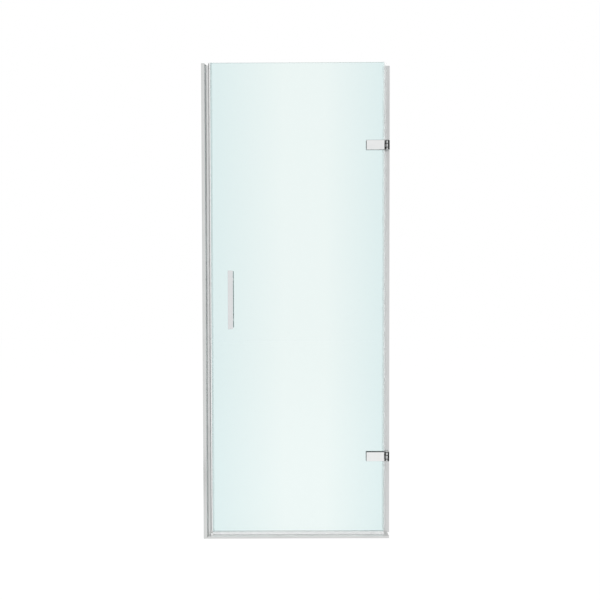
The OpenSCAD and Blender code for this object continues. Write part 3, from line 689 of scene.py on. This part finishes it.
class DOOR_OT_profiles(bpy.types.Operator):
    """Dresses the wall channel, the strike profile, the hinge side's profile and the threshold"""

    bl_idname = "door.profiles"
    bl_label = "Profiles"

    def execute(self, context):
        finishes, sizes = context.scene.door_finishes, context.scene.fitting_sizes

        def extruded(material, *nodes):
            return round_all(nodes, material, "polished_profile", sizes.profile_edge)

        channel = anodised_profile("Wall channel", finishes.channel, "Z", (0.14, 0.20))
        strike = anodised_profile("Strike profile", finishes.strike, "Z", (0.40, 0.50))
        hinge = anodised_profile("Hinge side profile", finishes.profile, "Z")
        level = anodised_profile("Threshold profile", finishes.threshold, "X")
        extruded(channel, "strike_wall_channel", "strike_channel_cap")
        extruded(strike, "strike_profile", "strike_profile_cap")
        cover = anodised_profile("Profile cover", finishes.cover, "Z")
        extruded(hinge, "hinge_wall_profile", "hinge_profile_cap")
        extruded(cover, "hinge_profile_cover")
        # Painted light: the threshold's upward faces take a lighter copy of its finish.
        painted_light_top = anodised_profile("Threshold top", finishes.threshold_top_light, "X")
        for piece in extruded(level, "threshold", "threshold_end"):
            refinished(piece, painted_light_top, lambda face: face.normal.z > 0.6)
        return {"FINISHED"}


class DOOR_OT_seals(bpy.types.Operator):
    """Dresses the vinyl seals, the sweep, the strike's carrier and the magnets"""

    bl_idname = "door.seals"
    bl_label = "Seals and Magnets"

    def execute(self, context):
        finishes = context.scene.door_finishes
        clear = finishes.vinyl_clear
        upright = clear_vinyl("Upright vinyl", finishes.vinyl_upright, "Z")
        hinge = clear_vinyl("Hinge side vinyl", clear, "Z", clearness=0.9, bending=1.06)
        level = clear_vinyl("Sweep vinyl", clear, "X", clearness=0.42, bending=1.03)
        paint(upright, "closing_edge_seal")
        paint(hinge, "hinge_edge_seals")
        paint(level, "bottom_sweep")
        paint(grey_vinyl("Carrier vinyl", finishes.vinyl_grey), "strike_magnet_carrier")
        paint(magnet_rubber("Magnet rubber", finishes.rubber), "strike_magnet", "door_magnet")
        without_shadow("closing_edge_seal", "hinge_edge_seals", "bottom_sweep")
        return {"FINISHED"}


# A clamp screw, in metres
SCREW_SIZES = {
    "Head Radius": 0.0058,
    "Head Height": 0.0028,
    "Foot Radius": 0.003,
    "Shank Radius": 0.003,
    "Shank Length": 0.0135,
    "Socket Radius": 0.002,
    "Socket Depth": 0.0018,
}


def screw_tree():
    """A node group that sets a socket screw on every point of its mesh, each turned at random."""
    group = bpy.data.node_groups.new("Socket screws", "GeometryNodeTree")
    face = group.interface
    face.new_socket("Geometry", in_out="INPUT", socket_type="NodeSocketGeometry")
    for name, default in SCREW_SIZES.items():
        socket = face.new_socket(name, in_out="INPUT", socket_type="NodeSocketFloat")
        socket.subtype, socket.default_value = "DISTANCE", default
    face.new_socket("Axis", in_out="INPUT", socket_type="NodeSocketVector")
    face.new_socket("Seed", in_out="INPUT", socket_type="NodeSocketInt")
    face.new_socket("Material", in_out="INPUT", socket_type="NodeSocketMaterial")
    face.new_socket("Geometry", in_out="OUTPUT", socket_type="NodeSocketGeometry")
    given = add(group, "NodeGroupInput").outputs

    def times(socket, by):
        return reckoned(group, "MULTIPLY", socket, by)

    def lifted(mesh, height):
        up = add(group, "ShaderNodeCombineXYZ", {"Z": height}).outputs["Vector"]
        return add(
            group, "GeometryNodeTransform", {"Geometry": mesh, "Translation": up}
        ).outputs["Geometry"]

    # The head's top lies at a height of 0 and the shank points down
    head = add(
        group, "GeometryNodeMeshCone",
        {"Vertices": 40, "Radius Top": given["Head Radius"], "Radius Bottom": given["Foot Radius"],
         "Depth": given["Head Height"]},
    ).outputs["Mesh"]
    shank = add(
        group, "GeometryNodeMeshCylinder",
        {"Vertices": 32, "Radius": given["Shank Radius"], "Depth": given["Shank Length"]},
    ).outputs["Mesh"]
    socket = add(
        group, "GeometryNodeMeshCylinder",
        {"Vertices": 6, "Radius": given["Socket Radius"],
         "Depth": times(given["Socket Depth"], 2.0)},
    ).outputs["Mesh"]
    blank = add(group, "GeometryNodeMeshBoolean", operation="UNION", solver="EXACT")
    group.links.new(lifted(head, times(given["Head Height"], -1.0)), blank.inputs["Mesh 2"])
    group.links.new(lifted(shank, times(given["Shank Length"], -0.5)), blank.inputs["Mesh 2"])
    cut = add(
        group, "GeometryNodeMeshBoolean", {"Mesh 1": blank.outputs["Mesh"], "Mesh 2": socket},
        operation="DIFFERENCE", solver="EXACT",
    ).outputs["Mesh"]

    facing = add(
        group, "FunctionNodeAlignRotationToVector", {"Vector": given["Axis"]}, axis="Z"
    ).outputs["Rotation"]
    placed = add(
        group, "GeometryNodeInstanceOnPoints",
        {"Points": given["Geometry"], "Instance": cut, "Rotation": facing},
    ).outputs["Instances"]
    turn = add(
        group, "FunctionNodeRandomValue",
        {"Min": 0.0, "Max": math.tau, "Seed": given["Seed"]}, data_type="FLOAT",
    )
    spin = add(group, "ShaderNodeCombineXYZ", {"Z": turn.outputs["Value"]}).outputs["Vector"]
    turned = add(
        group, "GeometryNodeRotateInstances", {"Instances": placed, "Rotation": spin}
    ).outputs["Instances"]
    real = add(group, "GeometryNodeRealizeInstances", {"Geometry": turned}).outputs["Geometry"]
    coated = add(
        group, "GeometryNodeSetMaterial", {"Geometry": real, "Material": given["Material"]}
    ).outputs["Geometry"]
    add(group, "NodeGroupOutput", {"Geometry": coated})
    return group


def set_inputs(modifier, group, values):
    """Sets a modifier's inputs, named as in its group."""
    names = {item.name: item.identifier for item in group.interface.items_tree
             if item.item_type == "SOCKET" and item.in_out == "INPUT"}
    for name, value in values.items():
        modifier[names[name]] = value


def screws(name, group, places, values, slot, *nodes):
    """One mesh of screws at places, in the stead of CAD nodes."""
    mesh = bpy.data.meshes.new(name)
    mesh.from_pydata(places, [], [])
    piece = in_scene(name, mesh)
    modifier = piece.modifiers.new("Screws", "NODES")
    modifier.node_group = group
    set_inputs(modifier, group, values)
    work_in(piece)
    piece.data.shade_smooth()
    piece.data.set_sharp_from_angle(angle=math.radians(35))
    return stand_in(piece, slot, *nodes)


def in_socket(face, places):
    """True for a face inside the socket of a screw whose head looks along +Y from its place."""
    depth = places[0][1] - face.center.y
    off = min(math.hypot(face.center.x - x, face.center.z - z) for x, _, z in places)
    return (
        NEAR < depth < SCREW_SIZES["Socket Depth"] + NEAR
        and off < SCREW_SIZES["Socket Radius"] + NEAR
    )


class DOOR_OT_screws(bpy.types.Operator):
    """Sets the clamps' socket screws behind the glass, each turned its own way"""

    bl_idname = "door.screws"
    bl_label = "Clamp Screws"

    def execute(self, context):
        finishes, sizes = context.scene.door_finishes, context.scene.fitting_sizes
        steel = turned_steel("Screw steel", finishes.steel)
        # Painted shade: the screws' hex sockets take the steel at 15 % of its brightness.
        shaded_socket = turned_steel("Socket steel", dimmed(finishes.steel, 0.15))
        group = screw_tree()
        head = SCREW_SIZES["Head Radius"]
        for number, hinge in enumerate(("upper", "lower")):
            node = f"{hinge}_clamp_screws"
            low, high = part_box(node)
            places = [(x, high.y, middle_of(node).z) for x in (low.x + head, high.x - head)]
            piece = screws(
                f"{hinge}_clamp_screw_set", group, places,
                {"Axis": (0.0, 1.0, 0.0), "Seed": sizes.screw_seed + number, "Material": steel},
                "screw_steel", node,
            )
            # Faces inside the sockets take the painted shade.
            refinished(piece, shaded_socket, lambda face: in_socket(face, places))
        paint(steel, "upper_leaf_screws", "lower_leaf_screws", "adjusting_screws",
              "handle_grub_screws")
        paint(chrome_plating("Cap chrome", finishes.chrome, (0.08, 0.14)),
              "adjusting_screw_caps")
        return {"FINISHED"}


# Studio

FLOOR_REACH = 8.0
FLOOR_HEIGHT = -0.0002
FLOOR_GREY = 0.9
CARD_HEIGHT = 0.001
DOOR_MIDDLE = (0.0, 0.0, 0.9)
WHITE = (1, 1, 1)

# Upright dark cards: X, from and to in Y, from and to in Z
SIDE_FLAGS = {
    "right_high_flag": (1.0, (-1.65, 2.6), (1.35, 2.5)),
    "left_high_flag": (-1.0, (2.6, -1.3), (1.35, 2.5)),
    "right_low_flag": (1.0, (-0.8, 2.0), (0.0, 0.4)),
}

# Dark cards on the floor: from and to in X, from and to in Y
FLOOR_FLAGS = {
    "right_floor_flag": ((0.6, 1.7), (-1.0, 1.5)),
    "left_floor_flag": ((-1.3, -0.4), (-1.0, 1.5)),
}

# Lamps: place, width, height and the setting of their power
LAMPS = {
    "key_lamp": ((0.2, -1.7, 2.7), 1.8, 1.2, "key_power"),
    "fill_lamp": ((-2.2, -1.6, 1.2), 1.2, 1.8, "fill_power"),
}


def level_corners(x, y, z):
    """The corners of a level sheet at a height, from and to in X and in Y."""
    return [(x[0], y[0], z), (x[1], y[0], z), (x[1], y[1], z), (x[0], y[1], z)]


def upright_corners(x, y, z):
    """The corners of an upright sheet at an X, from and to in Y and in Z."""
    return [(x, y[0], z[0]), (x, y[1], z[0]), (x, y[1], z[1]), (x, y[0], z[1])]


def plain_sheet(name, corners, material):
    """A flat sheet between corners, which is part of the studio."""
    mesh = bpy.data.meshes.new(name)
    mesh.from_pydata(corners, [], [tuple(range(len(corners)))])
    mesh.materials.append(material)
    sheet = in_scene(name, mesh)
    return sheet


def floor_finish(shade, ambient):
    """A floor that comes out white in the open and keeps a soft share of the door's shadow."""
    material = new_finish("White floor")
    tree = material.node_tree
    open_white = (1.0 - shade * FLOOR_GREY * ambient) / (1.0 - shade)
    glow = add(tree, "ShaderNodeEmission", {"Color": opaque(WHITE), "Strength": open_white})
    cloth = add(tree, "ShaderNodeBsdfDiffuse", {"Color": opaque(dimmed(WHITE, FLOOR_GREY))})
    share = reckoned(tree, "MULTIPLY", seen_share(tree), 1.0 - shade)
    return covered(material, mixed(tree, share, cloth.outputs["BSDF"], glow.outputs["Emission"]))


def white_surroundings(ambient):
    """White where it is seen, mirrored or looked at through the glass, and softer as light."""
    world = bpy.data.worlds.new("Studio")
    world.use_nodes = True
    tree = world.node_tree
    tree.nodes.clear()

    def background(strength):
        return add(
            tree, "ShaderNodeBackground", {"Color": opaque(WHITE), "Strength": strength}
        ).outputs["Background"]

    shader = mixed(tree, seen_share(tree), background(ambient), background(1.0))
    add(tree, "ShaderNodeOutputWorld", {"Surface": shader})
    bpy.context.scene.world = world


def soft_edge(tree, place, width):
    """0 at both ends of a range from 0 to 1, and 1 from a width inwards."""
    far = reckoned(tree, "SUBTRACT", 1.0, place)
    near = reckoned(tree, "MINIMUM", place, far)
    return between(tree, near, 0.0, 1.0, 0.0, width)


def dark_flag(name, corners, shade, softness):
    """A dark card with soft edges that only shows in what is polished."""
    material = new_finish(name)
    tree = material.node_tree
    place = coordinates(tree, "UV")
    first, second, fourth = Vector(corners[0]), Vector(corners[1]), Vector(corners[3])
    across = soft_edge(tree, place["X"], softness / (second - first).length)
    along = soft_edge(tree, place["Y"], softness / (fourth - first).length)
    cover = reckoned(tree, "MULTIPLY", across, along)
    dark = add(tree, "ShaderNodeEmission", {"Color": opaque(WHITE), "Strength": shade})
    clear = add(tree, "ShaderNodeBsdfTransparent")
    shader = mixed(tree, cover, clear.outputs["BSDF"], dark.outputs["Emission"])
    card = plain_sheet(name, corners, covered(material, shader))
    layer = card.data.uv_layers.new(name="Card")
    for corner, uv in zip(layer.data, ((0, 0), (1, 0), (1, 1), (0, 1))):
        corner.uv = uv
    card.visible_camera = False
    card.visible_diffuse = False
    card.visible_shadow = False
    card.visible_transmission = False


def soft_lamp(name, place, width, height, power):
    """A rectangular lamp that points at the door and isn't mirrored in glass or chrome."""
    lamp = bpy.data.lights.new(name, "AREA")
    lamp.shape = "RECTANGLE"
    lamp.size, lamp.size_y, lamp.energy = width, height, power
    aim = Vector(DOOR_MIDDLE) - Vector(place)
    holder = in_scene(name, lamp)
    holder.location = place
    holder.rotation_euler = aim.to_track_quat("-Z", "Y").to_euler()
    holder.visible_glossy = False
    holder.visible_transmission = False


class DOOR_OT_studio(bpy.types.Operator):
    """Builds the floor, the surroundings, the lamps, the flags and the camera"""

    bl_idname = "door.studio"
    bl_label = "Studio"

    def execute(self, context):
        scene, studio = context.scene, context.scene.studio_settings
        whole = (-FLOOR_REACH, FLOOR_REACH)
        plain_sheet(
            "floor", level_corners(whole, whole, FLOOR_HEIGHT),
            floor_finish(studio.floor_shade, studio.ambient),
        )
        white_surroundings(studio.ambient)

        cards = {name: upright_corners(*flag) for name, flag in SIDE_FLAGS.items()}
        for name, (x, y) in FLOOR_FLAGS.items():
            cards[name] = level_corners(x, y, CARD_HEIGHT)
        for name, corners in cards.items():
            dark_flag(name, corners, studio.flag_shade, studio.flag_softness)
        for name, (place, width, height, power) in LAMPS.items():
            soft_lamp(name, place, width, height, getattr(studio, power))

        camera = bpy.data.cameras.new("Camera")
        camera.sensor_width = 36.0
        camera.lens = studio.focal_length
        camera.shift_x = studio.shift_x
        holder = in_scene("Camera", camera)
        holder.location = studio.camera_place
        holder.rotation_euler = studio.camera_turn
        scene.camera = holder
        scene.view_settings.view_transform = "Standard"
        return {"FINISHED"}


class DOOR_PT_sidebar(bpy.types.Panel):
    """The door's settings and steps"""

    bl_idname = "DOOR_PT_sidebar"
    bl_label = "Shower Door"
    bl_space_type = "VIEW_3D"
    bl_region_type = "UI"
    bl_category = "Shower Door"

    def draw(self, context):
        for step in STEPS:
            self.layout.operator(step.bl_idname)
        scene = context.scene
        groups = (
            ("Finishes", scene.door_finishes),
            ("Fittings", scene.fitting_sizes),
            ("Studio", scene.studio_settings),
        )
        for title, group in groups:
            box = self.layout.box()
            box.label(text=title)
            for setting in group.__annotations__:
                box.prop(group, setting)


STEPS = (
    DOOR_OT_studio, DOOR_OT_glass, DOOR_OT_hinges, DOOR_OT_screws, DOOR_OT_handle,
    DOOR_OT_profiles, DOOR_OT_seals,
)
GROUPS = {
    "door_finishes": DoorFinishes,
    "fitting_sizes": FittingSizes,
    "studio_settings": StudioSettings,
}


def register():
    """Makes the settings, the operators and the panel known."""
    for group in (*GROUPS.values(), *STEPS, DOOR_PT_sidebar):
        bpy.utils.register_class(group)
    for name, group in GROUPS.items():
        setattr(bpy.types.Scene, name, PointerProperty(type=group))


def unregister():
    """Takes away what register() has added."""
    for name in GROUPS:
        delattr(bpy.types.Scene, name)
    for group in reversed((*GROUPS.values(), *STEPS, DOOR_PT_sidebar)):
        bpy.utils.unregister_class(group)


def main():
    """Builds everything in order."""
    register()
    for step in STEPS:
        family, action = step.bl_idname.split(".")
        getattr(getattr(bpy.ops, family), action)()


if __name__ == "__main__":
    main()
